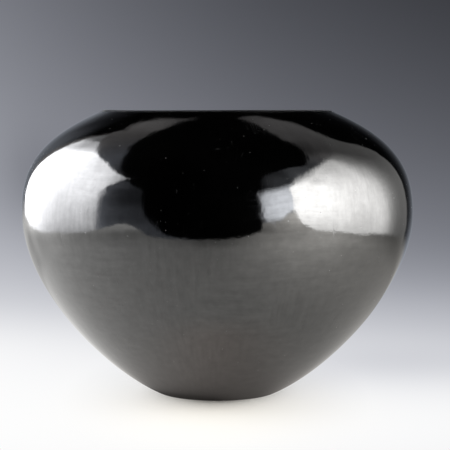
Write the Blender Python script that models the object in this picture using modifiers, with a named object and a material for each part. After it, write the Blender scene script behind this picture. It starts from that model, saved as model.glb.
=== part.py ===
"""A burnished blackware bowl, hand built from coils of clay.

The bowl is one fired clay wall on a flat foot, with a thin coat of polished slip over its outside, its lip and
the first stretch of its inside, and a second patch of the same slip in the shallow hollow under the foot.
The outline rises from the foot as a swelling flank, is widest at the belly, and turns in over a broad shoulder
to a wide mouth with a plain round lip.  Every piece is turned about the bowl's axis, which is world Z, and the
bowl stands on the plane Z = 0.
"""
import math

import bpy
import numpy as np

# Driving dimensions of the outline, in metres, and its angles in degrees from the horizontal.
BOWL_HEIGHT = 0.1595
BELLY_DIAMETER = 0.220
BELLY_HEIGHT = 0.1025
MOUTH_DIAMETER = 0.120
FOOT_DIAMETER = 0.064
FOOT_ROUNDING = 0.0045
FLANK_ANGLE = 24.5
LIP_ANGLE = 23.0

# How full each curve is at its ends: the length of a curve's handle as a part of the span that it crosses.
FLANK_FULLNESS_AT_FOOT = 0.27
FLANK_FULLNESS_AT_BELLY = 0.40
SHOULDER_FULLNESS_AT_BELLY = 0.47
SHOULDER_FULLNESS_AT_LIP = 0.50

# Driving dimensions of the clay wall.
CLAY_WALL = 0.0052
CLAY_LIP = 0.0042
FLOOR_HEIGHT = 0.0095
FLOOR_JOIN = 0.26
FLOOR_FULLNESS = 0.45

# Driving dimensions of the slip and of the foot's underside.
SLIP_COAT = 0.0004
SLIP_DEPTH_INSIDE = 0.028
STANDING_RING_WIDTH = 0.0075
FOOT_HOLLOW_DEPTH = 0.0016
FOOT_SLIP_MARGIN = 0.003

# The gap that is left between the clay and the slip on it.
SEAT_GAP = 0.0003

# How finely the curves, the turning and the search for the edge of the slip are divided.
TURN_STEPS = 60
FLANK_SEGMENTS = 10
SHOULDER_SEGMENTS = 10
LIP_SEGMENTS = 5
FLOOR_SEGMENTS = 4
FOOT_ROUNDING_SEGMENTS = 2
FOOT_HOLLOW_SEGMENTS = 3
EDGE_SEARCH_STEPS = 400
MERGE_DISTANCE = 0.00001

# Sizes that follow from the ones above.
RECESS = SEAT_GAP + SLIP_COAT
BELLY = np.array([BELLY_DIAMETER / 2, BELLY_HEIGHT])
LIP_RADIUS = CLAY_LIP / 2 + RECESS
LIP_CENTRE = np.array([MOUTH_DIAMETER / 2 + LIP_RADIUS, BOWL_HEIGHT - LIP_RADIUS])
FOOT_RADIUS = FOOT_DIAMETER / 2
FOOT_CENTRE = np.array([FOOT_RADIUS, FOOT_ROUNDING])
FOOT_TURN = math.radians(FLANK_ANGLE - 90)
LIP_TURN = math.radians(90 - LIP_ANGLE)
HOLLOW_RADIUS = FOOT_RADIUS - STANDING_RING_WIDTH
FOOT_SLIP_RADIUS = HOLLOW_RADIUS - FOOT_SLIP_MARGIN


def on_circle(centre, radius, angles):
    """Points on a circle, at angles in radians from the +X direction."""
    angles = np.atleast_1d(angles)
    return centre + radius * np.stack([np.cos(angles), np.sin(angles)], axis=1)


def bezier(start, start_handle, end_handle, end, at):
    """Points of a cubic Bezier curve at the parameters `at`, and the unit normals on its right-hand side."""
    t = np.asarray(at)[:, None]
    s = 1 - t
    points = s**3 * start + 3 * s**2 * t * start_handle + 3 * s * t**2 * end_handle + t**3 * end
    run = s**2 * (start_handle - start) + 2 * s * t * (end_handle - start_handle) + t**2 * (end - end_handle)
    run = run / np.linalg.norm(run, axis=1)[:, None]
    normals = np.stack([run[:, 1], -run[:, 0]], axis=1)
    return points, normals


def flank(at):
    """The outside from the foot's rounding (0) up to the belly (1), with its outward normals."""
    start = on_circle(FOOT_CENTRE, FOOT_ROUNDING, FOOT_TURN)[0]
    angle = math.radians(FLANK_ANGLE)
    away = np.array([math.cos(angle), math.sin(angle)])
    span = np.linalg.norm(BELLY - start)
    start_handle = start + FLANK_FULLNESS_AT_FOOT * span * away
    end_handle = BELLY - [0, FLANK_FULLNESS_AT_BELLY * (BELLY[1] - start[1])]
    return bezier(start, start_handle, end_handle, BELLY, at)


def shoulder(at):
    """The outside from the belly (0) up to the lip (1), with its outward normals."""
    end = on_circle(LIP_CENTRE, LIP_RADIUS, LIP_TURN)[0]
    angle = math.radians(LIP_ANGLE)
    back = np.array([math.cos(angle), -math.sin(angle)])
    span = np.linalg.norm(end - BELLY)
    start_handle = BELLY + [0, SHOULDER_FULLNESS_AT_BELLY * (end[1] - BELLY[1])]
    end_handle = end + SHOULDER_FULLNESS_AT_LIP * span * back
    return bezier(BELLY, start_handle, end_handle, end, at)


def sunk(curve, at, depth):
    """The points of a curve, moved into the wall by `depth`, which is one number or one for each point."""
    points, normals = curve(at)
    return points - normals * np.broadcast_to(depth, len(points))[:, None]


def clay_thickness(at):
    """The clay wall thins evenly from the belly (0) to the lip (1)."""
    return CLAY_WALL + (CLAY_LIP - CLAY_WALL) * np.asarray(at)


def slip_edge_inside():
    """Where on the shoulder, from 0 at the belly to 1 at the lip, the slip inside the bowl stops."""
    fine = np.linspace(1, 0, EDGE_SEARCH_STEPS)
    points = sunk(shoulder, fine, RECESS + clay_thickness(fine))
    lengths = np.linalg.norm(np.diff(points, axis=0), axis=1)
    return float(np.interp(SLIP_DEPTH_INSIDE, np.concatenate([[0], np.cumsum(lengths)]), fine))


def shoulder_steps():
    """The shoulder's divisions, from the belly to the lip, and the place among them of the slip's inner edge."""
    steps = np.linspace(0, 1, SHOULDER_SEGMENTS + 1)
    edge = slip_edge_inside()
    nearest = 1 + int(np.argmin(np.abs(steps[1:-1] - edge)))
    steps[nearest] = edge
    return steps, nearest


def lip_turns():
    """The angles round the lip's half circle, from its inner side over the crest to its outer side."""
    over = np.linspace(LIP_TURN + math.pi, math.pi / 2, LIP_SEGMENTS)
    return np.append(over, LIP_TURN)


def hollow_height(radius):
    """The shallow dome under the foot: highest on the axis, and down to the ground at the standing ring."""
    return FOOT_HOLLOW_DEPTH * (1 - (radius / HOLLOW_RADIUS) ** 2)


def hollow_face(radii, lift):
    """Points on the dome under the foot, lifted into the clay by `lift`."""
    return np.stack([radii, hollow_height(radii) + lift], axis=1)


def clay_profile():
    """Half the clay's section: up the inside from the floor, over the lip, down the outside, and under the foot."""
    flank_at = np.linspace(0, 1, FLANK_SEGMENTS + 1)
    shoulder_at, _ = shoulder_steps()
    inner_depth = RECESS + CLAY_WALL

    # The floor is a soft curve, level on the axis, that runs into the inside of the flank.
    half_segment = 0.5 / FLANK_SEGMENTS
    wall_at = np.append(FLOOR_JOIN, flank_at[flank_at > FLOOR_JOIN + half_segment])
    inner_flank = sunk(flank, wall_at, inner_depth)
    _, join_normals = flank(wall_at[:1])
    up_the_wall = np.array([-join_normals[0, 1], join_normals[0, 0]])
    centre = np.array([0, FLOOR_HEIGHT])
    join = inner_flank[0]
    level_handle = centre + [FLOOR_FULLNESS * join[0], 0]
    wall_handle = join - up_the_wall * FLOOR_FULLNESS * join[0]
    floor, _ = bezier(centre, level_handle, wall_handle, join, np.linspace(0, 1, FLOOR_SEGMENTS + 1))

    inner_shoulder = sunk(shoulder, shoulder_at, RECESS + clay_thickness(shoulder_at))
    lip = on_circle(LIP_CENTRE, CLAY_LIP / 2, lip_turns())
    outer_shoulder = sunk(shoulder, shoulder_at[::-1], RECESS)
    outer_flank = sunk(flank, flank_at[::-1], RECESS)

    # Below the slip the clay steps out to the outline again, and turns under to the standing ring.
    ledge_turn = FOOT_TURN - SEAT_GAP / FOOT_ROUNDING
    ledge_root = on_circle(FOOT_CENTRE, FOOT_ROUNDING - RECESS, ledge_turn)
    under_turns = np.linspace(ledge_turn, -math.pi / 2, FOOT_ROUNDING_SEGMENTS + 1)
    foot = on_circle(FOOT_CENTRE, FOOT_ROUNDING, under_turns)

    rim_radii = np.array([HOLLOW_RADIUS, FOOT_SLIP_RADIUS + SEAT_GAP])
    hollow_rim = hollow_face(rim_radii, 0)
    roof_radii = np.linspace(rim_radii[1], 0, FOOT_HOLLOW_SEGMENTS + 1)
    hollow_roof = hollow_face(roof_radii, RECESS)

    return np.concatenate([
        floor[:-1],
        inner_flank[:-1],
        inner_shoulder[:-1],
        lip[:-1],
        outer_shoulder[:-1],
        outer_flank,
        ledge_root,
        foot,
        hollow_rim,
        hollow_roof,
    ])


def outer_slip_profile():
    """The section of the outer slip: its polished face from inside the mouth to the foot, then its back again."""
    flank_at = np.linspace(0, 1, FLANK_SEGMENTS + 1)
    shoulder_at, edge = shoulder_steps()
    inside_at = shoulder_at[edge:]
    clay_face = RECESS + clay_thickness(inside_at)

    face = [
        sunk(shoulder, inside_at, clay_face + RECESS)[:-1],
        on_circle(LIP_CENTRE, LIP_RADIUS, lip_turns())[:-1],
        sunk(shoulder, shoulder_at[::-1], 0)[:-1],
        sunk(flank, flank_at[::-1], 0),
    ]
    back = [
        sunk(flank, flank_at, SLIP_COAT)[:-1],
        sunk(shoulder, shoulder_at, SLIP_COAT)[:-1],
        on_circle(LIP_CENTRE, LIP_RADIUS - SLIP_COAT, lip_turns()[::-1])[:-1],
        sunk(shoulder, inside_at[::-1], clay_face[::-1] + SEAT_GAP),
    ]
    return np.concatenate(face + back)


def foot_slip_profile():
    """The section of the slip under the foot: from the axis out along its back, and home along its face."""
    radii = np.linspace(0, FOOT_SLIP_RADIUS, FOOT_HOLLOW_SEGMENTS + 1)
    return np.concatenate([hollow_face(radii, SLIP_COAT), hollow_face(radii[::-1], 0)])


def finish(name, colour, roughness):
    """A fired clay finish: a plain Principled material."""
    material = bpy.data.materials.new(name)
    material.use_nodes = True
    shader = material.node_tree.nodes["Principled BSDF"]
    shader.inputs["Base Color"].default_value = (*colour, 1)
    shader.inputs["Roughness"].default_value = roughness
    shader.inputs["Metallic"].default_value = 0
    material.diffuse_color = (*colour, 1)
    return material


def turned(name, profile, closed, material, collection):
    """A solid turned about world Z from half of its section, which lies in the XZ plane at +X."""
    mesh = bpy.data.meshes.new(name)
    count = len(profile)
    corners = [(r, 0, z) for r, z in profile]
    edges = [(i, i + 1) for i in range(count - 1)]
    if closed:
        edges.append((count - 1, 0))
    mesh.from_pydata(corners, edges, [])
    mesh.materials.append(material)
    piece = bpy.data.objects.new(name, mesh)
    collection.objects.link(piece)
    screw = piece.modifiers.new("turning", "SCREW")
    screw.axis = "Z"
    screw.angle = 2 * math.pi
    screw.steps = TURN_STEPS
    screw.render_steps = TURN_STEPS
    screw.use_merge_vertices = True
    screw.merge_threshold = MERGE_DISTANCE
    screw.use_smooth_shade = True
    return piece


def clear_scene():
    """Remove whatever objects the file holds."""
    for item in list(bpy.data.objects):
        bpy.data.objects.remove(item, do_unlink=True)


def build_bowl():
    """Make the collection, the finishes and the pieces of the bowl."""
    bowl = bpy.data.collections.new("pottery_bowl")
    bpy.context.scene.collection.children.link(bowl)
    smoked_clay = finish("smoked_clay", (0.030, 0.027, 0.025), 0.85)
    burnished_slip = finish("burnished_slip", (0.008, 0.008, 0.008), 0.12)
    foot_burnish = finish("foot_burnish", (0.012, 0.011, 0.011), 0.30)
    turned("clay_body", clay_profile(), False, smoked_clay, bowl)
    turned("outer_slip", outer_slip_profile(), True, burnished_slip, bowl)
    turned("foot_slip", foot_slip_profile(), False, foot_burnish, bowl)


clear_scene()
build_bowl()
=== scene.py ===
"""A burnished blackware bowl on a pale studio table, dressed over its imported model.

The script follows the bowl as it is made: the fired clay wall first, then the polished coat on its outside
and round its lip, then the coat under its foot.  The studio comes last.  Every length is in metres.
"""
import math

import bpy
import numpy as np
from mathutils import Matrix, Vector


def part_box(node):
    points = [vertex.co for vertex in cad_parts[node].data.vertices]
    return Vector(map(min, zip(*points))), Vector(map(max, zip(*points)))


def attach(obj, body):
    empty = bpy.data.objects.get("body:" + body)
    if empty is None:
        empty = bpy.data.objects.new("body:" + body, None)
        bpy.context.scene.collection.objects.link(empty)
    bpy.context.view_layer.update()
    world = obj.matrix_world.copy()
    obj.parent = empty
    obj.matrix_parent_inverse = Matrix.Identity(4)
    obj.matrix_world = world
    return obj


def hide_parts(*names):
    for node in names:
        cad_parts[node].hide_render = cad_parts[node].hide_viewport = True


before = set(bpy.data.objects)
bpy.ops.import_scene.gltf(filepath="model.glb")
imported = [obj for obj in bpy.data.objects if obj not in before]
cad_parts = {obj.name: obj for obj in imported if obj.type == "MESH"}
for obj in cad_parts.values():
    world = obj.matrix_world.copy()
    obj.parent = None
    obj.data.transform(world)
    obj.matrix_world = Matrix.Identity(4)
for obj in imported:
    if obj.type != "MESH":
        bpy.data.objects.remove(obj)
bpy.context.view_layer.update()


# The fired clay wall.  The real one is a pad of clay with coils laid on it, pinched together, drawn up and
# in to the mouth, and scraped thin inside and out while leather hard.  A smoky fire blackened it through.
coat_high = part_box("outer_slip")[1]
BOWL_HEIGHT = coat_high.z
BELLY_HEIGHT = 0.1025
BELLY = np.array([coat_high.x, BELLY_HEIGHT])
MOUTH_RADIUS = 0.060
FOOT_RADIUS = 0.032
FOOT_ROUNDING = 0.0045
FLANK_ANGLE = math.radians(24.5)
LIP_ANGLE = math.radians(23.0)
FLANK_FULLNESS = (0.27, 0.40)
SHOULDER_FULLNESS = (0.47, 0.50)
CLAY_WALL = 0.0052
CLAY_LIP = 0.0042
RECESS = 0.0007
FLOOR_HEIGHT = 0.0095
FLOOR_JOIN = 0.26
FLOOR_FULLNESS = 0.45
HOLLOW_RADIUS = 0.0245
HOLLOW_DEPTH = 0.0016
LIP_RADIUS = CLAY_LIP / 2 + RECESS
LIP_CENTRE = (MOUTH_RADIUS + LIP_RADIUS, BOWL_HEIGHT - LIP_RADIUS)
LIP_TURN = math.pi / 2 - LIP_ANGLE
FOOT_TURN = FLANK_ANGLE - math.pi / 2
AROUND = 440
TURNS = np.linspace(0, 2 * math.pi, AROUND, endpoint=False)


def on_arc(centre, radius, angle):
    """A circle in the bowl's section: the centre, plus the radius times the angle's cosine and sine.

    Like each curve of the outline it returns radius from the axis, height, and the two parts of the outward
    normal, in arrays of the same shape as the parameter.
    """
    across, up = np.cos(angle), np.sin(angle)
    return centre[0] + radius * across, centre[1] + radius * up, across, up


def on_bezier(corners, at):
    """A cubic Bezier: its four corners weighted by s^3, 3s^2t, 3st^2 and t^3, with s = 1 - t.

    The normal is the tangent turned a quarter turn to its right.
    """
    t = np.asarray(at, float)
    s = 1 - t
    weights = (s**3, 3 * s**2 * t, 3 * s * t**2, t**3)
    slopes = (s**2, 2 * s * t, t**2)
    radius, height = (sum(w * c[k] for w, c in zip(weights, corners)) for k in (0, 1))
    run, rise = (sum(w * (b[k] - a[k]) for w, a, b in zip(slopes, corners, corners[1:])) for k in (0, 1))
    length = np.hypot(run, rise)
    return radius, height, rise / length, -run / length


def flank(at):
    """The outside from the foot's rounding (0) to the belly (1): it leaves the foot at FLANK_ANGLE and is
    upright at the belly."""
    start = np.array(on_arc((FOOT_RADIUS, FOOT_ROUNDING), FOOT_ROUNDING, FOOT_TURN)[:2])
    reach = FLANK_FULLNESS[0] * np.linalg.norm(BELLY - start)
    leave = start + reach * np.array([math.cos(FLANK_ANGLE), math.sin(FLANK_ANGLE)])
    arrive = BELLY - [0, FLANK_FULLNESS[1] * (BELLY[1] - start[1])]
    return on_bezier((start, leave, arrive, BELLY), at)


def shoulder(at):
    """The outside from the belly (0) to the lip (1), where it runs inward at LIP_ANGLE above the level."""
    end = np.array(on_arc(LIP_CENTRE, LIP_RADIUS, LIP_TURN)[:2])
    reach = SHOULDER_FULLNESS[1] * np.linalg.norm(end - BELLY)
    leave = BELLY + [0, SHOULDER_FULLNESS[0] * (end[1] - BELLY[1])]
    arrive = end + reach * np.array([math.cos(LIP_ANGLE), -math.sin(LIP_ANGLE)])
    return on_bezier((BELLY, leave, arrive, end), at)


def inner_depth(at):
    """How far the bare inside lies under the outline on the shoulder: the wall thins evenly to the lip."""
    return RECESS + CLAY_WALL + (CLAY_LIP - CLAY_WALL) * np.asarray(at)


def shifted(curve, offset):
    """A curve of the section moved along its normals by an offset, one number or one for each point."""
    radius, height, across, up = curve
    return radius + offset * across, height + offset * up


def ease(value, start, end):
    """A soft step from 0 at the start to 1 at the end, up or down the scale: 3x^2 - 2x^3 of the share."""
    share = np.clip((value - start) / (end - start), 0, 1)
    return share * share * (3 - 2 * share)


def lengths_along(radius, height):
    """The distance run along a section, row by row: the running sum of its steps."""
    steps = np.hypot(np.diff(radius, axis=0), np.diff(height, axis=0))
    return np.concatenate([np.zeros_like(steps[:1]), np.cumsum(steps, axis=0)])


def lengths_back(radius, height):
    """The distance run along a section from its last row back to each row."""
    return lengths_along(radius[::-1], height[::-1])[::-1]


def joined(*stretches):
    """Stacks stretches of a section into columns of rows.

    Each stretch begins where the one before it ends, so its first row is left out.
    """
    return [np.concatenate([part[1:] for part in parts])[:, None] for parts in zip(*stretches)]


SIDE_WAVES = ((0.00022, 2, 1.1, 0.2), (0.00014, 3, -1.7, 2.0), (0.00007, 5, 2.6, 0.9))
RIM_WAVES = ((0.00014, 2, 1.3), (0.00010, 3, 4.1))


def hand_wander(radius, height):
    """Turns a section into places in space, with the slow unevenness of a bowl made without a wheel.

    The radius gains SIDE_WAVES, each given by its size, its number to a turn, its twist from foot to lip
    and its start, and the height gains RIM_WAVES, which don't twist.  All of them grow with the height, so
    the foot stays flat and round.
    """
    share = height / BOWL_HEIGHT
    out = sum(size * np.sin(k * TURNS + twist * share + start) for size, k, twist, start in SIDE_WAVES)
    up = sum(size * np.sin(k * TURNS + start) for size, k, start in RIM_WAVES)
    wide = radius + out * share * np.minimum(radius / FOOT_RADIUS, 1)
    return np.stack([wide * np.cos(TURNS), wide * np.sin(TURNS), height + up * share**2], axis=-1)


def waves(places, shortest, longest, seed, count=26):
    """A smooth random field, about -1 to 1: the sum of plane waves in space, whose lengths run from the
    shortest to the longest, and whose directions and phases are drawn from the seed."""
    draw = np.random.default_rng(seed)
    ways = draw.normal(size=(count, 3))
    ways /= np.linalg.norm(ways, axis=1)[:, None]
    ways *= 2 * math.pi / np.geomspace(shortest, longest, count)[:, None]
    starts = draw.uniform(0, 2 * math.pi, count)
    total = sum(np.sin(places @ way + start) for way, start in zip(ways, starts))
    return total / math.sqrt(2 * count)


def grid_normals(places):
    """The unit normals of a grid of places: the cross product of its steps along the section and round it."""
    along_rows = np.gradient(places, axis=0)
    along_turn = np.roll(places, -1, axis=1) - np.roll(places, 1, axis=1)
    normals = np.cross(along_rows, along_turn)
    return normals / np.linalg.norm(normals, axis=-1)[..., None]


def placed(name, data):
    """A new object in the scene, made of its data."""
    made = bpy.data.objects.new(name, data)
    bpy.context.scene.collection.objects.link(made)
    return made


def skin(name, places, lie, on_axis):
    """A closed skin of quads on a grid of places, with rows along the section and columns round the axis.

    With on_axis, the first and last rows are each drawn to a point on the axis.  Without, the last row joins
    the first.  The attribute `lie` is each corner's place on the unrolled wall.
    """
    rows, columns = places.shape[:2]
    grid = np.arange(rows * columns).reshape(rows, columns)
    lower = grid if not on_axis else grid[:-1]
    upper = np.roll(grid, -1, axis=0)[:len(lower)]
    quads = np.stack([lower, upper, np.roll(upper, -1, axis=1), np.roll(lower, -1, axis=1)], axis=-1)
    corners = quads.reshape(-1)
    sizes = np.full(len(corners) // 4, 4)
    points = places.reshape(-1, 3)
    if on_axis:
        first, last = rows * columns, rows * columns + 1
        after = np.roll(grid, -1, axis=1)
        start_fan = np.stack([np.full(columns, first), grid[0], after[0]], axis=-1)
        end_fan = np.stack([grid[-1], np.full(columns, last), after[-1]], axis=-1)
        corners = np.r_[corners, start_fan.reshape(-1), end_fan.reshape(-1)]
        sizes = np.r_[sizes, np.full(2 * columns, 3)]
        points = np.r_[points, places[[0, -1]].mean(axis=1) * [0, 0, 1]]
        lie = np.r_[lie.reshape(-1, 3), lie[[0, -1]].mean(axis=1)]
    mesh = bpy.data.meshes.new(name)
    mesh.vertices.add(len(points))
    mesh.vertices.foreach_set("co", points.astype(np.float32).ravel())
    mesh.loops.add(len(corners))
    mesh.loops.foreach_set("vertex_index", corners.astype(np.int32))
    mesh.polygons.add(len(sizes))
    mesh.polygons.foreach_set("loop_start", np.r_[0, np.cumsum(sizes)[:-1]].astype(np.int32))
    mesh.update(calc_edges=True)
    mesh.validate()
    mesh.shade_smooth()
    held = mesh.attributes.new("lie", "FLOAT_VECTOR", "POINT")
    held.data.foreach_set("vector", lie.reshape(-1, 3).astype(np.float32).ravel())
    return placed(name, mesh)


def unrolled(along):
    """The attribute `lie`: a circle of the belly's radius in x and y, and the length along the wall in z."""
    across = BELLY[0] * np.stack([np.cos(TURNS), np.sin(TURNS)], axis=-1)
    across = np.broadcast_to(across, along.shape + (2,))
    return np.concatenate([across, along[..., None]], axis=-1)


COAT_EDGE_RUN = 0.0009
FEATHER = 0.003
EDGE_STAND = 0.00006


def coat_edge_at_foot():
    """How far the coat stops short of the ground, along the foot's rounding: wiped by hand, so it wanders."""
    return COAT_EDGE_RUN + 0.00022 * np.sin(5 * TURNS + 0.4) + 0.00012 * np.sin(11 * TURNS + 2.2)


def clay_under_coat(run):
    """How deep the clay lies under the outline, by the run up from the ground: the coat thins to its edge."""
    edge = coat_edge_at_foot()
    deep = EDGE_STAND + (RECESS - EDGE_STAND) * ease(run, edge, edge + FEATHER)
    return deep * ease(run, 0, COAT_EDGE_RUN * 0.8)


CLAY_ROWS = {"floor": 34, "wall": 66, "shoulder": 52, "lip": 9, "outer shoulder": 12, "outer flank": 26,
             "rounding": 8, "ring": 6, "hollow": 16}
CROWDING_TO_FOOT = 1.6
MARKS_FROM_MIDDLE = (0.004, 0.030)
MARKS_FROM_LIP = (0.040, 0.052)
LUMP_HEIGHT = 0.00016
SCRAPE_HEIGHT = 0.00007
SCRAPE_STRETCH = (0.22, 0.22, 1.0)


def make_clay_wall():
    """The section runs from the middle of the floor up the inside, over the lip, down under the coat, round
    the foot, over the standing ring and up to the middle of the hollow under it.

    Broad lumps, and scraping marks drawn out round the wall, are added along the inside's normals.
    """
    centre = np.array([0.0, FLOOR_HEIGHT])
    wall_at = np.linspace(FLOOR_JOIN, 1, CLAY_ROWS["wall"])
    inner_flank = shifted(flank(wall_at), -(RECESS + CLAY_WALL))
    join = np.array([inner_flank[0][0], inner_flank[1][0]])
    away = np.array(flank(FLOOR_JOIN)[2:])
    up_the_wall = np.array([-away[1], away[0]])
    level = centre + [FLOOR_FULLNESS * join[0], 0]
    rising = join - up_the_wall * FLOOR_FULLNESS * join[0]
    floor_at = np.r_[0, np.linspace(0.02, 1, CLAY_ROWS["floor"])]
    floor = on_bezier((centre, level, rising, join), floor_at)[:2]

    rise_at = np.linspace(0, 1, CLAY_ROWS["shoulder"])
    inner_shoulder = shifted(shoulder(rise_at), -inner_depth(rise_at))
    lip_turns = np.linspace(LIP_TURN + math.pi, LIP_TURN, CLAY_ROWS["lip"])
    lip = on_arc(LIP_CENTRE, CLAY_LIP / 2, lip_turns)[:2]
    radius, height = joined(floor, inner_flank, inner_shoulder, lip)
    inside_run = lengths_along(radius, height)
    inside = hand_wander(radius, height)
    inside_lie = unrolled(np.broadcast_to(inside_run, inside.shape[:2]))
    fade = ease(radius, *MARKS_FROM_MIDDLE) * ease(inside_run[-1] - inside_run, *MARKS_FROM_LIP)
    lumps = LUMP_HEIGHT * waves(inside, 0.020, 0.055, seed=11)
    scrapes = SCRAPE_HEIGHT * waves(inside_lie * SCRAPE_STRETCH, 0.0055, 0.013, seed=12)
    inside = inside + grid_normals(inside) * (fade * (lumps + scrapes))[..., None]

    outer_shoulder = shoulder(np.linspace(1, 0, CLAY_ROWS["outer shoulder"]))
    outer_flank = flank(np.linspace(1, 0, CLAY_ROWS["outer flank"]) ** CROWDING_TO_FOOT)
    turning = np.linspace(FOOT_TURN, -math.pi / 2, CLAY_ROWS["rounding"])
    rounding = on_arc((FOOT_RADIUS, FOOT_ROUNDING), FOOT_ROUNDING, turning)
    outline = joined(outer_shoulder, outer_flank, rounding)
    outside = hand_wander(*shifted(outline, -clay_under_coat(lengths_back(*outline[:2]))))

    ring = np.linspace(FOOT_RADIUS, HOLLOW_RADIUS, CLAY_ROWS["ring"])
    under = np.linspace(HOLLOW_RADIUS, 0, CLAY_ROWS["hollow"])[:-1]
    coated = ease(HOLLOW_RADIUS - under, 0, FEATHER)
    roof = HOLLOW_DEPTH * (1 - (under / HOLLOW_RADIUS) ** 2) + EDGE_STAND + (RECESS - EDGE_STAND) * coated
    beneath = hand_wander(*joined((ring, 0 * ring), (under, roof)))

    places = np.r_[inside, outside, beneath]
    lie = unrolled(lengths_along(np.hypot(places[..., 0], places[..., 1]), places[..., 2]))
    return skin("clay_wall", places, lie, on_axis=True)


def fill(tree, node, inputs):
    """Gives a node its inputs, by name or number: a socket is linked and any other value is set."""
    for key, value in dict(inputs).items():
        if isinstance(value, bpy.types.NodeSocket):
            tree.links.new(value, node.inputs[key])
        else:
            node.inputs[key].default_value = value


def put(tree, kind, inputs=(), **options):
    """Adds a shader node with its options and inputs."""
    made = tree.nodes.new("ShaderNode" + kind)
    for name, value in options.items():
        setattr(made, name, value)
    fill(tree, made, inputs)
    return made


def work_out(tree, operation, first, second=0.0, third=0.0):
    """One step of arithmetic on values of the surface."""
    return put(tree, "Math", {0: first, 1: second, 2: third}, operation=operation).outputs[0]


def between(tree, share, low, high):
    """A mixture of two colours by a share that changes over the surface."""
    return put(tree, "Mix", {0: share, 6: low, 7: high}, data_type="RGBA").outputs[2]


def spread(tree, value, from_low, from_high, to_low, to_high):
    """A value moved from one range to another, and held inside it."""
    return put(tree, "MapRange", {0: value, 1: from_low, 2: from_high, 3: to_low, 4: to_high}).outputs[0]


def stretched(tree, places, scales):
    """Places on the surface, scaled apart along their three directions."""
    return put(tree, "Mapping", {"Vector": places, "Scale": scales}).outputs[0]


def noise(tree, places, scale, detail=3.0, roughness=0.5, distortion=0.0):
    """Blender's noise, as a value of about 0.2 to 0.8."""
    inputs = {"Vector": places, "Scale": scale, "Detail": detail, "Roughness": roughness,
              "Distortion": distortion}
    return put(tree, "TexNoise", inputs).outputs[0]


def bumped(tree, height, distance):
    """The normal that a height gives the surface, where a height of 1 stands for the distance."""
    return put(tree, "Bump", {"Height": height, "Distance": distance}).outputs[0]


def new_group(name, inputs, outputs):
    """An empty shader group with named sockets: it returns the tree, its inputs by name, and its outputs."""
    tree = bpy.data.node_groups.new(name, "ShaderNodeTree")
    for label, kind in inputs:
        tree.interface.new_socket(label, in_out="INPUT", socket_type="NodeSocket" + kind)
    for label in outputs:
        tree.interface.new_socket(label, in_out="OUTPUT", socket_type="NodeSocketFloat")
    return tree, tree.nodes.new("NodeGroupInput").outputs, tree.nodes.new("NodeGroupOutput").inputs


def use_group(tree, group, inputs):
    """Places a shader group in a material with its own values."""
    return put(tree, "Group", inputs, node_tree=group).outputs


def clay_grain_group():
    """The grain of the clay: a fine tooth, slow clouds, and scattered grit.

    Grit is the cells of a Voronoi pattern whose own random number is high, near their middles.
    """
    group, entry, leave = new_group("clay_grain", [("Place", "Vector"), ("Grit Size", "Float")],
                                    ["Tooth", "Clouds", "Grit"])
    fine = noise(group, entry["Place"], 1600.0, detail=4.0, roughness=0.6)
    group.links.new(fine, leave["Tooth"])
    clouds = noise(group, entry["Place"], 26.0, detail=3.0, roughness=0.55, distortion=0.4)
    group.links.new(clouds, leave["Clouds"])
    cells = put(group, "TexVoronoi", {"Vector": entry["Place"], "Scale": 360.0})
    chosen = put(group, "SeparateColor", {0: cells.outputs["Color"]})
    size = spread(group, chosen.outputs[1], 0.0, 1.0, 0.5, 1.0)
    width = work_out(group, "MULTIPLY", entry["Grit Size"], size)
    edge = work_out(group, "DIVIDE", cells.outputs["Distance"], width)
    spot = spread(group, edge, 0.7, 1.0, 1.0, 0.0)
    kept = work_out(group, "GREATER_THAN", chosen.outputs[0], 0.6)
    strength = spread(group, work_out(group, "POWER", chosen.outputs[2], 3.0), 0.0, 1.0, 0.22, 1.0)
    spot = work_out(group, "MULTIPLY", spot, strength)
    group.links.new(work_out(group, "MULTIPLY", spot, kept), leave["Grit"])
    return group


def finish(name, ior, specular=0.5):
    """A new Principled material: it returns the material, its tree and its shader, then the place in space
    and the place on the unrolled wall, for the textures to follow."""
    material = bpy.data.materials.new(name)
    material.use_nodes = True
    tree = material.node_tree
    shader = tree.nodes["Principled BSDF"]
    fill(tree, shader, {"Metallic": 0.0, "IOR": ior, "Specular IOR Level": specular})
    place = put(tree, "TexCoord").outputs["Object"]
    lie = put(tree, "Attribute", attribute_name="lie").outputs["Vector"]
    return material, tree, shader, place, lie


clay_grain = clay_grain_group()


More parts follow.
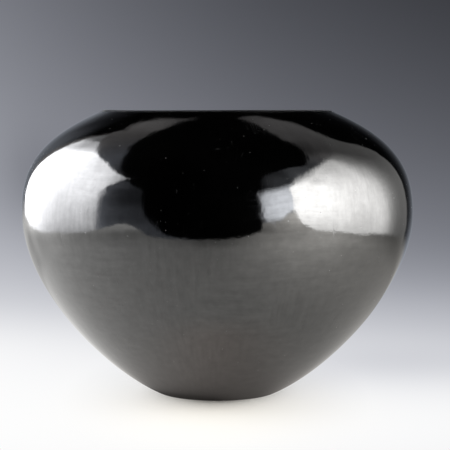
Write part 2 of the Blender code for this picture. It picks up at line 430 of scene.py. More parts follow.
def smoked_clay_finish():
    """Matte smoked clay: black with brown and grey clouds, fine tooth, level scraper lines and pale grit."""
    material, tree, shader, place, lie = finish("smoked_clay_matte", ior=1.5, specular=0.35)
    grain = use_group(tree, clay_grain, {"Place": place, "Grit Size": 0.30})
    lines = noise(tree, stretched(tree, lie, (55.0, 55.0, 1500.0)), 1.0, detail=4.0, roughness=0.6)
    black = between(tree, spread(tree, grain["Clouds"], 0.35, 0.65, 0.0, 1.0),
                    (0.017, 0.0158, 0.0150, 1), (0.040, 0.0365, 0.0335, 1))
    rubbed = between(tree, spread(tree, lines, 0.50, 0.72, 0.0, 0.55), black, (0.058, 0.054, 0.050, 1))
    gritty = between(tree, work_out(tree, "MULTIPLY", grain["Grit"], 0.6), rubbed, (0.12, 0.11, 0.10, 1))

    # The standing ring is worn by the tables that it has stood on, so it is paler there.
    height = put(tree, "SeparateXYZ", {0: place}).outputs["Z"]
    low_down = spread(tree, height, 0.0, 0.0009, 1.0, 0.0)
    wear = spread(tree, noise(tree, place, 420.0, detail=5.0, roughness=0.65), 0.42, 0.60, 0.0, 1.0)
    worn = between(tree, work_out(tree, "MULTIPLY", low_down, wear), gritty, (0.105, 0.088, 0.075, 1))

    rough = spread(tree, lines, 0.3, 0.7, 0.92, 0.66)
    relief = work_out(tree, "MULTIPLY_ADD", lines, 1.6, grain["Tooth"])
    relief = work_out(tree, "MULTIPLY_ADD", grain["Grit"], 0.5, relief)
    fill(tree, shader, {"Base Color": worn, "Roughness": rough, "Normal": bumped(tree, relief, 0.00006)})
    return material


clay_wall = make_clay_wall()
clay_wall.data.materials.append(smoked_clay_finish())
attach(clay_wall, "root")
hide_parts("clay_body")


# The burnished coat.  The real one is a slip of fine clay, brushed on in layers over the outside, the lip
# and a little way inside, and rubbed with a smooth stone before the fire until it shines like glass.
COAT = 0.0004
COAT_ROWS = {"inside": 24, "lip": 16, "shoulder": 61, "flank": 83, "foot": 7}
INNER_EDGE_AT = 0.62
INNER_FEATHER = 0.010
SWELL_HEIGHT = 0.000040
RIPPLE_HEIGHT = 0.0000100


def coat_inner_edge():
    """Where on the shoulder, from 0 at the belly to 1 at the lip, the brushed coat stops inside."""
    wobble = 0.016 * np.sin(4 * TURNS + 0.8) + 0.010 * np.sin(9 * TURNS + 2.9) + 0.006 * np.sin(17 * TURNS)
    return INNER_EDGE_AT + wobble


def feathered(edge, full, width):
    """An offset as a function of the run from an edge: it passes from its value there to the full one."""
    return lambda run: edge + (full - edge) * ease(run, 0, width)


def coat_section(inner, outer):
    """The places of the coat's section at two offsets along the normals, each a function of the run from the
    coat's edge on its side: `inner` from the bare inside into the hollow, and `outer` from the outline."""
    edge = coat_inner_edge()
    inside_at = edge + (1 - edge) * np.linspace(0, 1, COAT_ROWS["inside"] + 1)[:-1, None]
    curve = shoulder(inside_at)
    bare = shifted(curve, -inner_depth(inside_at))
    stand = inner(lengths_along(*bare))
    inside = shifted(curve, -(inner_depth(inside_at) + stand))

    lip_turns = np.linspace(LIP_TURN + math.pi, LIP_TURN, COAT_ROWS["lip"] + 1)[:-1, None]
    lip = on_arc(LIP_CENTRE, CLAY_LIP / 2 + inner(math.inf) * np.ones(AROUND), lip_turns)[:2]

    over = np.linspace(1, 0, COAT_ROWS["shoulder"] + 1)[:-1, None] + np.zeros(AROUND)
    under = np.linspace(1, 0, COAT_ROWS["flank"] + 1)[:-1, None] + np.zeros(AROUND)
    foot_edge = coat_edge_at_foot() / FOOT_ROUNDING - math.pi / 2
    round_at = FOOT_TURN + (foot_edge - FOOT_TURN) * np.linspace(0, 1, COAT_ROWS["foot"])[:, None]
    rounding = on_arc((FOOT_RADIUS, FOOT_ROUNDING), FOOT_ROUNDING, round_at)
    parts = [shoulder(over), flank(under), rounding]
    outline = [np.concatenate([part[k] for part in parts]) for k in range(4)]
    outside = shifted(outline, outer(lengths_back(*outline[:2])))
    radius = np.r_[inside[0], lip[0], outside[0]]
    height = np.r_[inside[1], lip[1], outside[1]]
    return radius, height


def make_burnished_coat():
    """The face follows the outline, and the back lies one coat under it; both close in to feathered edges.

    The stone leaves the face very slightly uneven: broad swells and short ripples are added along its
    normals, which is what makes its reflections waver.
    """
    face = coat_section(feathered(EDGE_STAND, RECESS, INNER_FEATHER), feathered(0, 0, FEATHER))
    back = coat_section(feathered(EDGE_STAND / 3, RECESS - COAT, INNER_FEATHER),
                        feathered(-EDGE_STAND / 2, -COAT, FEATHER))
    along = lengths_along(*face)
    front = hand_wander(*face)
    fade = ease(along, 0, INNER_FEATHER) * ease(along[-1] - along, 0, 2 * FEATHER)
    swells = SWELL_HEIGHT * waves(front, 0.018, 0.050, seed=3)
    ripples = RIPPLE_HEIGHT * waves(front, 0.0050, 0.012, seed=4, count=48)
    front = front + grid_normals(front) * (fade * (swells + ripples))[..., None]

    # Nothing shows of the back, so it keeps fewer rows: every sixth inside and on the shoulder, every fourth
    # round the lip, every seventh on the flank and every second round the foot.
    lip, over, under, foot, end = np.cumsum(list(COAT_ROWS.values()))
    kept = np.r_[0:lip:6, lip:over:4, over:under:6, under + 2:foot:7, foot:end:2][::-1]
    places = np.r_[front, hand_wander(*back)[kept]]
    lie = unrolled(np.r_[along, along[kept]])
    return skin("burnished_coat", places, lie, on_axis=False)


def rubbing_strokes_group():
    """The marks of the polishing stone: noise drawn out along the strokes.

    Round and Up are how closely the marks lie, per metre, round the wall and along it.  Height is for bump,
    and Dull is a mask of the strokes that took the polish less well.
    """
    sockets = [("Lie", "Vector"), ("Round", "Float"), ("Up", "Float")]
    group, entry, leave = new_group("rubbing_strokes", sockets, ["Height", "Dull"])
    scale = put(group, "CombineXYZ", {0: entry["Round"], 1: entry["Round"], 2: entry["Up"]}).outputs[0]
    drawn = put(group, "VectorMath", {0: entry["Lie"], 1: scale}, operation="MULTIPLY").outputs[0]
    marks = noise(group, drawn, 1.0, detail=2.0, roughness=0.45, distortion=0.15)
    group.links.new(marks, leave["Height"])
    broad = noise(group, drawn, 0.31, detail=3.0, roughness=0.6)
    group.links.new(spread(group, broad, 0.48, 0.70, 0.0, 1.0), leave["Dull"])
    return group


rubbing_strokes = rubbing_strokes_group()


def burnished_slip_finish():
    """Jet-black polished slip: strokes up the wall and round it, in patches, with dust-filled pits."""
    material, tree, shader, place, lie = finish("burnished_slip_gloss", ior=1.85)
    upward = use_group(tree, rubbing_strokes, {"Lie": lie, "Round": 620.0, "Up": 38.0})
    level = use_group(tree, rubbing_strokes, {"Lie": lie, "Round": 42.0, "Up": 540.0})
    patches = spread(tree, noise(tree, place, 24.0, detail=1.0), 0.42, 0.58, 0.0, 1.0)
    height = put(tree, "Mix", {0: patches, 2: upward["Height"], 3: level["Height"]}).outputs[0]
    dull = put(tree, "Mix", {0: patches, 2: upward["Dull"], 3: level["Dull"]}).outputs[0]
    grain = use_group(tree, clay_grain, {"Place": place, "Grit Size": 0.14})

    black = between(tree, spread(tree, grain["Clouds"], 0.35, 0.65, 0.0, 1.0),
                    (0.0003, 0.0003, 0.0003, 1), (0.0008, 0.0008, 0.0008, 1))
    dusty = between(tree, grain["Grit"], black, (0.085, 0.085, 0.083, 1))

    # Hairlines: the thin places where a drawn-out noise crosses its middle, kept in a few patches.
    drawn = noise(tree, stretched(tree, lie, (240.0, 240.0, 34.0)), 1.0, detail=1.0)
    off_middle = work_out(tree, "ABSOLUTE", work_out(tree, "SUBTRACT", drawn, 0.5))
    hair = spread(tree, off_middle, 0.0, 0.007, 1.0, 0.0)
    few = spread(tree, noise(tree, place, 75.0, detail=0.0), 0.60, 0.70, 0.0, 1.0)
    hair = work_out(tree, "MULTIPLY", hair, few)

    gloss = spread(tree, dull, 0.0, 1.0, 0.055, 0.095)
    gloss = work_out(tree, "MULTIPLY_ADD", hair, 0.25, gloss)

    # The lip is handled most, so its shine is softer.
    lip_height = put(tree, "SeparateXYZ", {0: place}).outputs["Z"]
    handled = spread(tree, lip_height, BOWL_HEIGHT - LIP_RADIUS / 2, BOWL_HEIGHT, 0.0, 0.35)
    gloss = work_out(tree, "ADD", gloss, handled)
    rough = put(tree, "Mix", {0: grain["Grit"], 2: gloss, 3: 0.6}).outputs[0]

    # The shine itself is mottled, and weaker on the hairlines.
    mottle = noise(tree, place, 210.0, detail=3.0, roughness=0.6)
    fine_upward = noise(tree, stretched(tree, lie, (420.0, 420.0, 60.0)), 1.0, detail=3.0, roughness=0.6)
    fine_level = noise(tree, stretched(tree, lie, (60.0, 60.0, 420.0)), 1.0, detail=3.0, roughness=0.6)
    fine = put(tree, "Mix", {0: patches, 2: fine_upward, 3: fine_level}).outputs[0]
    shine = spread(tree, work_out(tree, "ADD", mottle, fine), 0.7, 1.3, 0.44, 0.56)
    shine = work_out(tree, "MULTIPLY_ADD", hair, -0.10, shine)
    pitted = work_out(tree, "MULTIPLY_ADD", grain["Grit"], -1.5, height)
    pitted = work_out(tree, "MULTIPLY_ADD", hair, -0.3, pitted)
    pitted = work_out(tree, "MULTIPLY_ADD", mottle, 2.5, pitted)
    fill(tree, shader, {"Base Color": dusty, "Roughness": rough, "Specular IOR Level": shine,
                        "Normal": bumped(tree, pitted, 0.000013)})
    return material


burnished_coat = make_burnished_coat()
burnished_coat.data.materials.append(burnished_slip_finish())
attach(burnished_coat, "root")
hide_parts("outer_slip")


# The coat under the foot.  The same slip, brushed into the shallow hollow inside the standing ring and rubbed
# round and round with the tip of the stone, so it has a softer gloss.
FOOT_COAT_RADIUS = 0.0215
FOOT_COAT_ROWS = 22
RING_HEIGHT = 0.00001
RING_SPACING = 0.0016


def make_foot_coat():
    """A thin lens that follows the hollow's dome, a parabola in the radius, to an uneven feathered edge.

    The stone has left fine rings on its face, which spiral in.
    """
    edge = FOOT_COAT_RADIUS * (1 + 0.018 * np.sin(3 * TURNS + 1.0) + 0.012 * np.sin(7 * TURNS + 0.3))
    share = np.linspace(0.02, 1, FOOT_COAT_ROWS)[:, None]
    radius = edge * share
    dome = HOLLOW_DEPTH * (1 - (radius / HOLLOW_RADIUS) ** 2)
    thick = COAT * (0.1 + 0.9 * ease(edge - radius, 0, FEATHER))
    rings = RING_HEIGHT * np.sin(radius * 2 * math.pi / RING_SPACING + 2 * TURNS)
    rings = rings * ease(edge - radius, 0, FEATHER) * ease(radius, 0.0005, 0.004)
    face = hand_wander(radius, dome + rings)
    back = hand_wander(radius, dome + thick)
    places = np.r_[back, face[::-1]]
    return skin("foot_coat", places, unrolled(np.r_[radius, radius[::-1]]), on_axis=True)


def foot_burnish_finish():
    """The satin black of the coat under the foot: close strokes round the middle, and grit."""
    material, tree, shader, place, lie = finish("foot_burnish_satin", ior=1.7)
    rings = use_group(tree, rubbing_strokes, {"Lie": lie, "Round": 30.0, "Up": 900.0})
    grain = use_group(tree, clay_grain, {"Place": place, "Grit Size": 0.16})
    black = between(tree, grain["Clouds"], (0.007, 0.0065, 0.006, 1), (0.016, 0.0145, 0.014, 1))
    dusty = between(tree, grain["Grit"], black, (0.08, 0.074, 0.068, 1))
    rough = spread(tree, rings["Dull"], 0.0, 1.0, 0.24, 0.42)
    relief = work_out(tree, "MULTIPLY_ADD", grain["Tooth"], 0.3, rings["Height"])
    fill(tree, shader, {"Base Color": dusty, "Roughness": rough, "Normal": bumped(tree, relief, 0.00002)})
    return material


foot_coat = make_foot_coat()
foot_coat.data.materials.append(foot_burnish_finish())
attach(foot_coat, "root")
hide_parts("foot_slip")


# The table and the sweep behind it: one pale sheet, white under the bowl and graded to slate grey further
# off, a painted shade for the light's falloff.  The table is matte and takes the bowl's shadow.  Past it, the
# sweep is only a painted background.
CAMERA_DISTANCE = 0.900
CAMERA_HEIGHT = 0.16205
GRADE_CENTRE = -0.10
TABLE_RADIUS = 0.62
TABLE_DROP = 0.0001
SWEEP_FLAT = 1.2
SWEEP_BEND = 1.2
SWEEP_TOP = 2.2
GREY_AT_LEVEL = 0.156
GREY_FALL = 8.0
WHITE_BELOW = -8.2
WHITE_SOFTNESS = 1.05
HALF_VIEW = 0.141
PLAIN_PAINT_FROM = (0.030, 0.20)


def bump_at(value, middle, width):
    """A round bump that reaches 1 at the middle: exp(-((value - middle) / width)^2)."""
    return np.exp(-((value - middle) / width) ** 2)


def blob(x, y, x0, y0, size):
    """A round spot that reaches 1 at (x0, y0): the product of a bump each way."""
    return bump_at(x, x0, size) * bump_at(y, y0, size)


def falling(value, middle, width):
    """A slow step from 1 down to 0 round the middle: 1 / (1 + exp((value - middle) / width))."""
    return 1 / (1 + np.exp((value - middle) / width))


def sheet_colours(places):
    """The colour painted on the sheet, by place.

    Its tone falls with the angle at which a place rises from the camera's height: a grey that fades by an
    exponential, turned to white below by a falling step.  It is raised to a power that grows to the right, so
    the right side is darker.  This grade is painted shade, for the studio's light falling off away from the
    bowl and to the right.  The greys are tinted blue, and the white in front of the bowl is warm.
    """
    x, y, z = places[..., 0], places[..., 1], places[..., 2]
    on_table = z < 0.01
    away = np.hypot(0.5 * x, y - GRADE_CENTRE) + CAMERA_DISTANCE + GRADE_CENTRE
    rise = np.degrees(np.arctan2(z - CAMERA_HEIGHT, away))
    grey = GREY_AT_LEVEL * np.exp(-rise / GREY_FALL)
    tone = grey + (1 - grey) * falling(rise, WHITE_BELOW, WHITE_SOFTNESS)
    side = x / (HALF_VIEW * (CAMERA_DISTANCE + np.hypot(x, y)))
    lean_left = (0.032 + 0.03 * ease(tone, 0.35, 0.6)) * (1 - 0.8 * bump_at(tone, 0.25, 0.07))
    lean_right = 0.03 * ease(tone, 0.32, 0.22)
    lean = 0.31 + 0.36 * ease(tone, 0.5, 0.85)
    lean = lean + lean_left * ease(side, 0, -1.1) - lean_right * ease(side, 0, 0.6)
    tone = tone ** (1 + lean * 2.5 * np.tanh(side / 2.5))

    # A faint shade on the table, behind the bowl's right side, and another further off at the left.
    tone = tone * (1 - 0.15 * bump_at(x, 0.11, 0.09) * bump_at(y, 0.09, 0.08) * on_table)
    tone = tone * (1 - 0.27 * bump_at(side, -0.80, 0.16) * bump_at(rise, -2.66, 1.65))
    blue = (1 - tone)[..., None] * np.array([-0.085, -0.045, 0.125])
    in_front = bump_at(x, 0, 0.055) * bump_at(y, -0.05, 0.08) * on_table
    warm = in_front[..., None] * np.array([0.035, 0.0, -0.08])
    return tone[..., None] * (1 + blue) * (1 + warm)


def coloured_sheet(name, places, colours):
    """A mesh of quads on a grid of places, closed round its columns, with colours at its corners."""
    rows, columns = places.shape[:2]
    grid = np.arange(rows * columns).reshape(rows, columns)
    after = np.roll(grid, -1, axis=1)
    quads = np.stack([grid[:-1], after[:-1], after[1:], grid[1:]], axis=-1)
    mesh = bpy.data.meshes.new(name)
    mesh.from_pydata(places.reshape(-1, 3), [], quads.reshape(-1, 4))
    mesh.shade_smooth()
    levels = np.ones((rows * columns, 4), np.float32)
    levels[:, :3] = colours.reshape(-1, 3)
    held = mesh.attributes.new("tone", "FLOAT_COLOR", "POINT")
    held.data.foreach_set("color", levels.ravel())
    sheet = placed(name, mesh)
    return sheet


def turned_sheet(radii, heights, around):
    """The places of a sheet of revolution, from its radii and its heights, or its one height."""
    turns = np.linspace(0, 2 * math.pi, around, endpoint=False)
    upright = np.broadcast_to(heights, radii.shape)[:, None] + 0 * turns
    return np.stack([radii[:, None] * np.sin(turns), radii[:, None] * np.cos(turns), upright], axis=-1)


def bare_material(name):
    """An empty material whose glow isn't sampled as a lamp, its tree, the colour painted on the sheet, and
    the place in space."""
    material = bpy.data.materials.new(name)
    material.use_nodes = True
    material.cycles.emission_sampling = "NONE"
    tree = material.node_tree
    tree.nodes.clear()
    tone = put(tree, "Attribute", attribute_name="tone").outputs["Color"]
    place = put(tree, "TexCoord").outputs["Object"]
    return material, tree, tone, place


def hide_from(thing, *rays):
    """Hides an object from the named kinds of rays."""
    for ray in rays:
        setattr(thing, "visible_" + ray, False)


def sheet_paint():
    """Matte paint near the bowl, where it takes the shadow, and further off and to the sides plain paint that
    glows at its painted colour for the camera.
    """
    material, tree, paint, place = bare_material("sheet_paint")
    wide = stretched(tree, place, (2.3, 1.0, 1.0))
    distance = put(tree, "VectorMath", {0: wide}, operation="LENGTH").outputs["Value"]
    matte = put(tree, "BsdfDiffuse", {"Color": paint}).outputs[0]
    plain = put(tree, "Emission", {"Color": paint}).outputs[0]
    eye = put(tree, "LightPath").outputs["Is Camera Ray"]
    share = work_out(tree, "POWER", spread(tree, distance, *PLAIN_PAINT_FROM, 0.0, 1.0), 0.6)
    share = work_out(tree, "MULTIPLY", share, eye)
    seen = put(tree, "MixShader", {0: share, 1: matte, 2: plain}).outputs[0]
    put(tree, "OutputMaterial", {"Surface": seen})
    return material


sheet_look = sheet_paint()
table_places = turned_sheet(np.geomspace(0.0005, TABLE_RADIUS, 90), -TABLE_DROP, around=180)
table = coloured_sheet("table", table_places, sheet_colours(table_places))
table.data.materials.append(sheet_look)
hide_from(table, "glossy")

flat_radii = np.geomspace(TABLE_RADIUS, SWEEP_FLAT, 30)
bend = np.linspace(0, math.pi / 2, 40)[1:]
wall_heights = np.linspace(SWEEP_BEND, SWEEP_TOP, 12)[1:]
sweep_radii = np.r_[flat_radii, SWEEP_FLAT + SWEEP_BEND * np.sin(bend),
                    np.full(len(wall_heights), SWEEP_FLAT + SWEEP_BEND)]
sweep_heights = np.r_[0 * flat_radii, SWEEP_BEND * (1 - np.cos(bend)), wall_heights] - TABLE_DROP
sweep_places = turned_sheet(sweep_radii, sweep_heights, around=360)
sweep = coloured_sheet("sweep", sweep_places, sheet_colours(sweep_places))
sweep.data.materials.append(sheet_look)
hide_from(sweep, "diffuse", "glossy", "shadow")


# The studio as the polish mirrors it, painted as glowing reflections on a dome and a disc of table that only
# gloss can see: a large softbox on the left, a smaller one on the right with a dim flap beside it, the dark
# room between, and the lit table with the bowl's shadow painted on it.
# Its angles, in degrees, and its strengths are set so that the reflections fall as in the photograph.
DOME_RADIUS = 14.0
DOME_STEP = 0.5

# Outlines on the dome: the azimuth, 0 at the camera and growing to its right, and the elevation.
LEFT_BOX = ((-151, -30), (-151, 5), (-147.8, 13.5), (-146.2, 23.5), (-147.6, 37.5), (-147.3, 43),
            (-130, 45.7), (-112, 47), (-97, 47.2), (-83, 44.3), (-71, 41.4), (-60.8, 38.3), (-66.5, 33),
            (-72, 26), (-72, 8), (-73.8, -30))
LEFT_ROOM = ((-173.5, 51.6), (-166, 53.5), (-159.5, 56.2), (-145, 58.6), (-133, 59), (-122, 58.3),
             (-110, 58.5), (-100, 56.5), (-86, 51.8), (-75, 46), (-53, 30.4), (-46.8, 26.7), (-40.6, 2.9),
             (-29.7, -12.8), (-22, -16.8), (-10, -18), (-10, -40), (-152, -40), (-152, 12), (-148.8, 41),
             (-152.6, 46.2), (-156, 44.7), (-161.5, 43.5), (-166, 48), (-169.5, 50.6))
RIGHT_BOX = ((45.6, 30.4), (52, 34.8), (76, 45), (82, 46.7), (92, 47.8), (150, 48.8), (150, -40), (48, -40),
             (46.5, -3), (44.4, 5.8), (45.4, 19))
FLAP = ((25, 23.6), (31, 27.4), (48, 32.5), (48, 9), (42.5, 5.5), (36, -2), (29, -2.2), (26, 2), (24.8, 11))
RIGHT_ROOM = ((173.5, 50.8), (162.5, 56.6), (154, 60), (138, 63), (122, 61), (104, 59), (78, 51.6),
              (62.5, 53), (46.8, 50.8), (36, 46.9), (30, 39.3), (24.3, 20), (24.3, -40), (146, -40),
              (142.6, 15), (143.8, 27.4), (141, 41), (144.8, 44.6), (150, 45.2), (161, 45.5), (169, 47.2))
TABLE_RIM = ((-156, -2.5), (-148, -3.4), (-140, -6.2), (-126, -9.4), (-112, -10.8), (-90, -11.4),
             (-81.6, -11), (-72.4, -9), (-63, -5.8), (-56.4, -3.9), (-52, -3.8), (-47.8, -6.2), (-40, -12.9),
             (-34.5, -15.2), (-24.2, -17.4), (-9.8, -18.1), (4.5, -17.9), (15.8, -15.9), (24.8, -10.2),
             (25.8, -1.5), (36, -1), (42, 4.8), (45, 5.2), (48, -1.2), (50.5, -4.2), (59.2, -8.9),
             (74.7, -10.8), (90.6, -11.9), (118.7, -11.6), (143, -10.5), (180, -11), (180, -60), (-180, -60),
             (-180, -10))


def within(az, el, corners, soft):
    """1 inside a patch of the dome and 0 outside, by the signed distance to its outline, with an edge that
    passes over `soft` degrees to each side."""
    nearest = np.full(az.shape, math.inf)
    crossed = np.zeros(az.shape, bool)
    for (a0, e0), (a1, e1) in zip(corners, corners[1:] + corners[:1]):
        da, de = a1 - a0, e1 - e0
        along = np.clip(((az - a0) * da + (el - e0) * de) / (da * da + de * de), 0, 1)
        nearest = np.minimum(nearest, np.hypot(az - a0 - along * da, el - e0 - along * de))
        if de != 0:
            crossed ^= ((e0 > el) != (e1 > el)) & (az < a0 + da * (el - e0) / de)
    return ease(np.where(crossed, nearest, -nearest), -soft, soft)


def tinted(light, red, blue):
    """Grey light as a colour, with its red and blue scaled."""
    return light[..., None] * np.array([red, 1.0, blue])


def between_tints(light, share, first, second):
    """Grey light as a colour whose tint passes from the first to the second with the share."""
    share = share[..., None]
    return light[..., None] * (np.array(first) * (1 - share) + np.array(second) * share)


def dark_room(az, el):
    """Black, but for the sweep's glow low down behind the bowl and the dim air beyond each softbox."""
    behind = 0.75 * np.exp(-np.maximum(el + 13, 0) / 7) * ease(np.abs(az), 138, 172)
    right = 0.085 * ease(az, 138, 168) * ease(el, 22, 0)
    left = 0.22 * ease(az, -138, -152) * ease(el, 37, 19)
    left = left * (1 - 0.8 * ease(az, -154, -163) * ease(el, 10, 26))
    return tinted(behind + right + left, 0.93, 1.14)


def left_room(az, el):
    """The grey wall and ceiling round the left softbox: palest by the box, warm behind and blue in front."""
    above = 0.24 + 0.10 * bump_at(az, -160, 9) + 0.13 * bump_at(az, -100, 16)
    above = above * (1 - 0.85 * ease(az, -82, -70))
    above = above + 0.24 * np.exp(-np.maximum(el - 46.5, 0) / 2.5) * ease(az, -146, -128) * ease(az, -84, -96)
    low = 0.15 + 0.78 * np.exp(-np.maximum(az + 74, 0) / 10) + 0.12 * ease(el, 1, -7)
    high = 0.07 + 0.42 * np.exp(-np.maximum(az + 68, 0) / 6)
    beside = low + (high - low) * ease(el, 5, 16)
    beside = beside + (0.10 - beside) * ease(el, 26, 40)
    grey = above + (beside - above) * ease(az, -82, -78) * ease(el, 42, 38)
    grey = grey + 0.13 * bump_at(az, -62, 8) * ease(el, 24, 30) * ease(el, 46, 41)
    grey = grey * (1 - 0.4 * ease(az, -162, -174))
    colour = between_tints(grey, ease(az, -100, -150), (0.92, 0.98, 1.12), (1.03, 0.99, 0.99))
    soft = 0.9 + 0.4 * ease(az, -60, -50) + 1.4 * ease(az, -144, -148) * bump_at(el, 38, 4)
    return colour, within(az, el, LEFT_ROOM, soft)


def left_softbox(az, el):
    """The large softbox: brightest behind its middle, fading to its front edge, foot and far corner."""
    down = 8.7 * bump_at(el, 27, 38) * (1 - 0.2 * ease(el, -4, -14))
    across = (1 + 0.4 * bump_at(az, -128, 17)) * falling(az, -69, 5)
    from_corner = az + 145 - (el - 28) / 1.05
    far_corner = 0.08 + 0.26 * ease(from_corner, -11, -7) + 0.66 * ease(from_corner, -3, 12)
    light = down * across * far_corner * (1 - 0.35 * blob(az, el, -140, 41.5, 6.5))
    soft = 0.9 + 0.5 * ease(az, -140, -148) + 2.1 * ease(az, -82, -73)
    soft = soft - 1.9 * ease(az, -80, -74) * ease(el, 16, 26)
    return tinted(light, 0.995, 1.03), within(az, el, LEFT_BOX, soft)


def right_room_share(az, el):
    """Where the right side's grey wall and ceiling show."""
    soft = 0.8 + 1.2 * ease(az, 135, 142) * ease(el, 10, 0)
    soft = soft + 1.7 * bump_at(az, 122, 9) * ease(el, 50, 56)
    return within(az, el, RIGHT_ROOM, soft)


def right_room(az, el):
    """The grey wall and ceiling round the right softbox, dimmer over the flap and bluer in front."""
    above = 0.22 + 0.05 * ease(az, 140, 160) + 0.14 * bump_at(az, 94, 9) - 0.04 * bump_at(az, 115, 8)
    above = above + 0.10 * blob(az, el, 140, 60.5, 6) + 0.22 * bump_at(az, 109, 7) * bump_at(el, 50, 3.5)
    over_flap = 0.03 + 0.22 * ease(az, 28, 40) * (1 - 0.6 * ease(el, 40, 50)) + 0.22 * ease(az, 48, 60)
    grey = over_flap + (above - over_flap) * ease(az, 68, 80)
    grey = grey * (1 - 0.35 * ease(az, 162, 174)) * (1 - 0.2 * ease(el, 53, 57) * ease(az, 146, 140))
    colour = between_tints(grey, ease(az, 70, 110), (0.95, 1.0, 1.08), (1.02, 0.99, 0.99))
    return colour, right_room_share(az, el)


def flap(az, el):
    """The cloth flap in front of the right softbox: lit from behind, so it glows, and dimmer at its hem."""
    light = (6.9 - 3.3 * np.exp(-(az - 25) / 6)) * (1 - 0.16 * ease(el, 12, 30))
    light = light * (1 - 0.5 * ease(el, 6, -3) * ease(az, 40, 34))
    soft = 1.6 + 1.0 * ease(el, 8, 0) + 2.8 * ease(el, 12, 30)
    return tinted(light, 0.97, 1.06), within(az, el, FLAP, soft) * ease(az, 23.8, 27.6)


def right_softbox(az, el):
    """The right softbox: brightest at its front edge, with a side that fades out along the wall."""
    across = 0.42 + (6.6 + 4.6 * falling(az, 79, 6)) * falling(az, 113, 4.8) - 0.9 * ease(az, 52, 44)
    front = (1 - 0.5 * ease(el, 11, -14)) * (1 - (0.1 + 0.3 * ease(az, 58, 68)) * ease(el, 26, 34))
    middle = 1 - 0.45 * ease(el, 12, -18) - 0.5 * ease(el, 16, 52)
    side = 0.12 + 0.88 * bump_at(el, 5, 27)
    down = front + (middle - front) * ease(az, 64, 80)
    down = down + (side - down) * ease(az, 98, 112)
    soft = 0.9 + 4.6 * ease(az, 46, 56) - 3.3 * ease(az, 58, 84)
    soft = 1.2 + (soft - 1.2) * ease(el, -6, 24)
    share = within(az, el, RIGHT_BOX, soft) * right_room_share(az, el)
    return tinted(np.maximum(across * down, 0.27), 1.01, 0.985), share


def table_glow(x, y):
    """The light that the tabletop gives back, by place: paler under each lamp, dark in the bowl's shade."""
    light = 0.30 - 0.7 * x * (x < 0) * ease(y, 0.0, 0.3) - 1.774 * x * falling(y, 0.12, 0.4)
    light = light + 0.924 * blob(x, y, -0.236, 0.012, 0.24) + 0.737 * blob(x, y, 0.182, -0.193, 0.117)
    light = light + 3.0 * blob(x, y, 0.566, -0.326, 0.4) + 0.9 * ease(x, -0.34, -0.62)
    light = light + 0.6 * ease(y, 0.25, 0.7)
    from_foot = np.maximum(np.hypot(x, y) - FOOT_RADIUS, 0)
    right = ease(x, -0.02, 0.02)
    depth = 1.12 - 0.24 * right - 0.37 * ease(x, 0.02, 0.06)
    shade = np.minimum(depth * np.exp(-from_foot / (0.020 + 0.012 * right)), 0.93)
    light = np.clip(light, 0.03, 3.2) * (1 - shade) * (1 - 0.12 * blob(x, y, 0.08, -0.05, 0.06))
    warm = ease(x, -0.25, 0.25)[..., None]
    tint = np.array([1.005, 0.998, 0.985]) + warm * np.array([0.02, 0.0, -0.035])
    near = ease(from_foot, 0.085, 0.050) * bump_at(x, 0, 0.045)
    tint = tint + near[..., None] * np.array([0.07, -0.012, -0.045])
    return light[..., None] * tint


def far_table(az, el):
    """The tabletop past the mirrored disc, toned by the place that a direction from the bowl's flank meets.

    It is paler far off to the left and the right, dimmer close to its rim and in front, and lit by the flap
    at the corner where that meets it.
    """
    reach = 0.10 + 0.085 / np.tan(np.radians(np.clip(-el, 6, 80)))
    turn = np.radians(az)
    far = ease(el, -36, -17)
    far_left = ease(el, -48, -24) * bump_at(az, -118, 18)
    tone = 1 + 0.48 * ease(az, 45, 75) * far + 0.34 * far_left
    tone = tone * (1 - 0.30 * ease(az, -138, -148) * ease(el, -14, -9) + 0.25 * blob(az, el, -138, -14, 5))
    rim_dim = 0.20 * ease(az, -100, -86) * ease(az, -36, -50) + 0.26 * ease(az, 52, 72)
    tone = tone * (1 - rim_dim * ease(el, -19, -10))
    front_dim = 0.43 * bump_at(az, -3, 21) + 0.19 * bump_at(az, -58, 20)
    tone = tone * (1 - front_dim * ease(el, -30, -19))
    table = table_glow(reach * np.sin(turn), -reach * np.cos(turn)) * tone[..., None]
    corner = tinted((0.8 + 1.7 * ease(az, 22, 50)) * (0.8 + 0.9 * ease(el, -12, 6)), 1.03, 0.95)
    share = ease(az, 22, 25.5) * ease(az, 56, 47) * ease(el, -14, -9)
    table = table + (corner - table) * share[..., None]
    soft = 1.2 + 1.8 * ease(az, -146, -158) + 1.3 * ease(az, 130, 145) + 0.4 * bump_at(az, -5, 20)
    soft = soft + 0.8 * bump_at(az, 36, 5)
    return table, within(az, el, TABLE_RIM, soft)


def dome_glow(az, el):
    """What the polish sees in each direction: the dark room with each thing in it laid over the last."""
    glow = dark_room(az, el)
    for thing in (left_room, left_softbox, right_room, flap, right_softbox, far_table):
        colour, share = thing(az, el)
        glow = glow + (colour - glow) * share[..., None]
    return glow


def direction(azimuth, elevation):
    """The unit vector from the bowl towards a place on the dome."""
    turn, lift = np.radians(azimuth), np.radians(elevation)
    return np.stack([np.sin(turn) * np.cos(lift), -np.cos(turn) * np.cos(lift), np.sin(lift)], axis=-1)


dome_angles = np.meshgrid(np.arange(-180, 180, DOME_STEP), np.arange(-75, 90, DOME_STEP))
dome = coloured_sheet("studio_dome", DOME_RADIUS * direction(*dome_angles), dome_glow(*dome_angles))

MIRRORED_TABLE = (0.24, 0.34)
near_places = turned_sheet(np.linspace(0.00001, MIRRORED_TABLE[1], 140), -2 * TABLE_DROP, around=240)
near_tones = table_glow(near_places[..., 0], near_places[..., 1])
near_table = coloured_sheet("mirrored_table", near_places, near_tones)


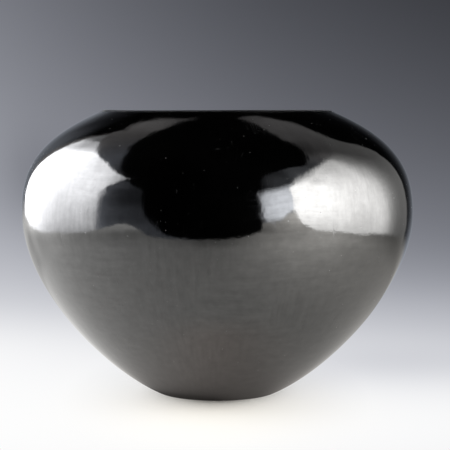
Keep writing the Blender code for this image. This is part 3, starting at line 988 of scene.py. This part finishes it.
def mirrored_glow():
    """The glow of the dome and the mirrored table; the table fades out where the dome takes its place."""
    material, tree, tone, place = bare_material("mirrored_glow")
    distance = put(tree, "VectorMath", {0: place}, operation="LENGTH").outputs["Value"]
    fade = {0: distance, 1: MIRRORED_TABLE[0], 2: MIRRORED_TABLE[1], 3: 0.0, 4: 1.0}
    faded = put(tree, "MapRange", fade, interpolation_type="SMOOTHSTEP").outputs[0]

    # The dome is over a metre off, and doesn't fade.
    on_table = work_out(tree, "LESS_THAN", distance, 1.0)
    shine = put(tree, "Emission", {"Color": tone}).outputs[0]
    clear = put(tree, "BsdfTransparent").outputs[0]
    share = work_out(tree, "MULTIPLY", faded, on_table)
    mixed = put(tree, "MixShader", {0: share, 1: shine, 2: clear}).outputs[0]
    put(tree, "OutputMaterial", {"Surface": mixed})
    return material


mirrored_look = mirrored_glow()
for mirrored in (dome, near_table):
    mirrored.data.materials.append(mirrored_look)
    hide_from(mirrored, "camera", "diffuse", "shadow", "transmission")


# The light that falls on the matte surfaces: a soft lamp at each softbox, a weaker one in front and an even
# sky, at the level where white paper renders white.  In the polish the dome stands for them.
def soft_lamp(name, azimuth, elevation, distance, width, power):
    """A square area lamp in a direction from the bowl, turned to face it."""
    data = bpy.data.lights.new(name, "AREA")
    data.shape = "SQUARE"
    data.size = width
    data.energy = power
    lamp = placed(name, data)
    lamp.location = distance * direction(azimuth, elevation)
    lamp.rotation_euler = (math.radians(90 - elevation), 0, math.radians(azimuth))
    hide_from(lamp, "camera", "glossy")


soft_lamp("lamp_left", azimuth=-100, elevation=24, distance=1.2, width=1.0, power=18.2)
soft_lamp("lamp_right", azimuth=80, elevation=24, distance=1.2, width=1.0, power=15.3)
soft_lamp("lamp_front", azimuth=0, elevation=50, distance=1.6, width=1.2, power=3.0)

world = bpy.data.worlds.new("studio_air")
bpy.context.scene.world = world
world.use_nodes = True
fill(world.node_tree, world.node_tree.nodes["Background"], {"Color": (1, 1, 1, 1), "Strength": 0.30})


# The camera stands level with the lip, about four bowl widths off, and looks slightly down.  Its focal length
# is given in pixels of the picture.
CAMERA_TILT = 4.281
CAMERA_YAW = 0.281
FOCAL_PIXELS = 1592.3
PICTURE_PIXELS = 450
SENSOR = 36.0

lens = bpy.data.cameras.new("camera")
lens.sensor_width = SENSOR
lens.lens = SENSOR * FOCAL_PIXELS / PICTURE_PIXELS
camera = placed("camera", lens)
camera.location = (0, -CAMERA_DISTANCE, CAMERA_HEIGHT)
camera.rotation_euler = (math.radians(90 - CAMERA_TILT), 0, -math.radians(CAMERA_YAW))
bpy.context.scene.camera = camera
bpy.context.scene.view_settings.view_transform = "Standard"
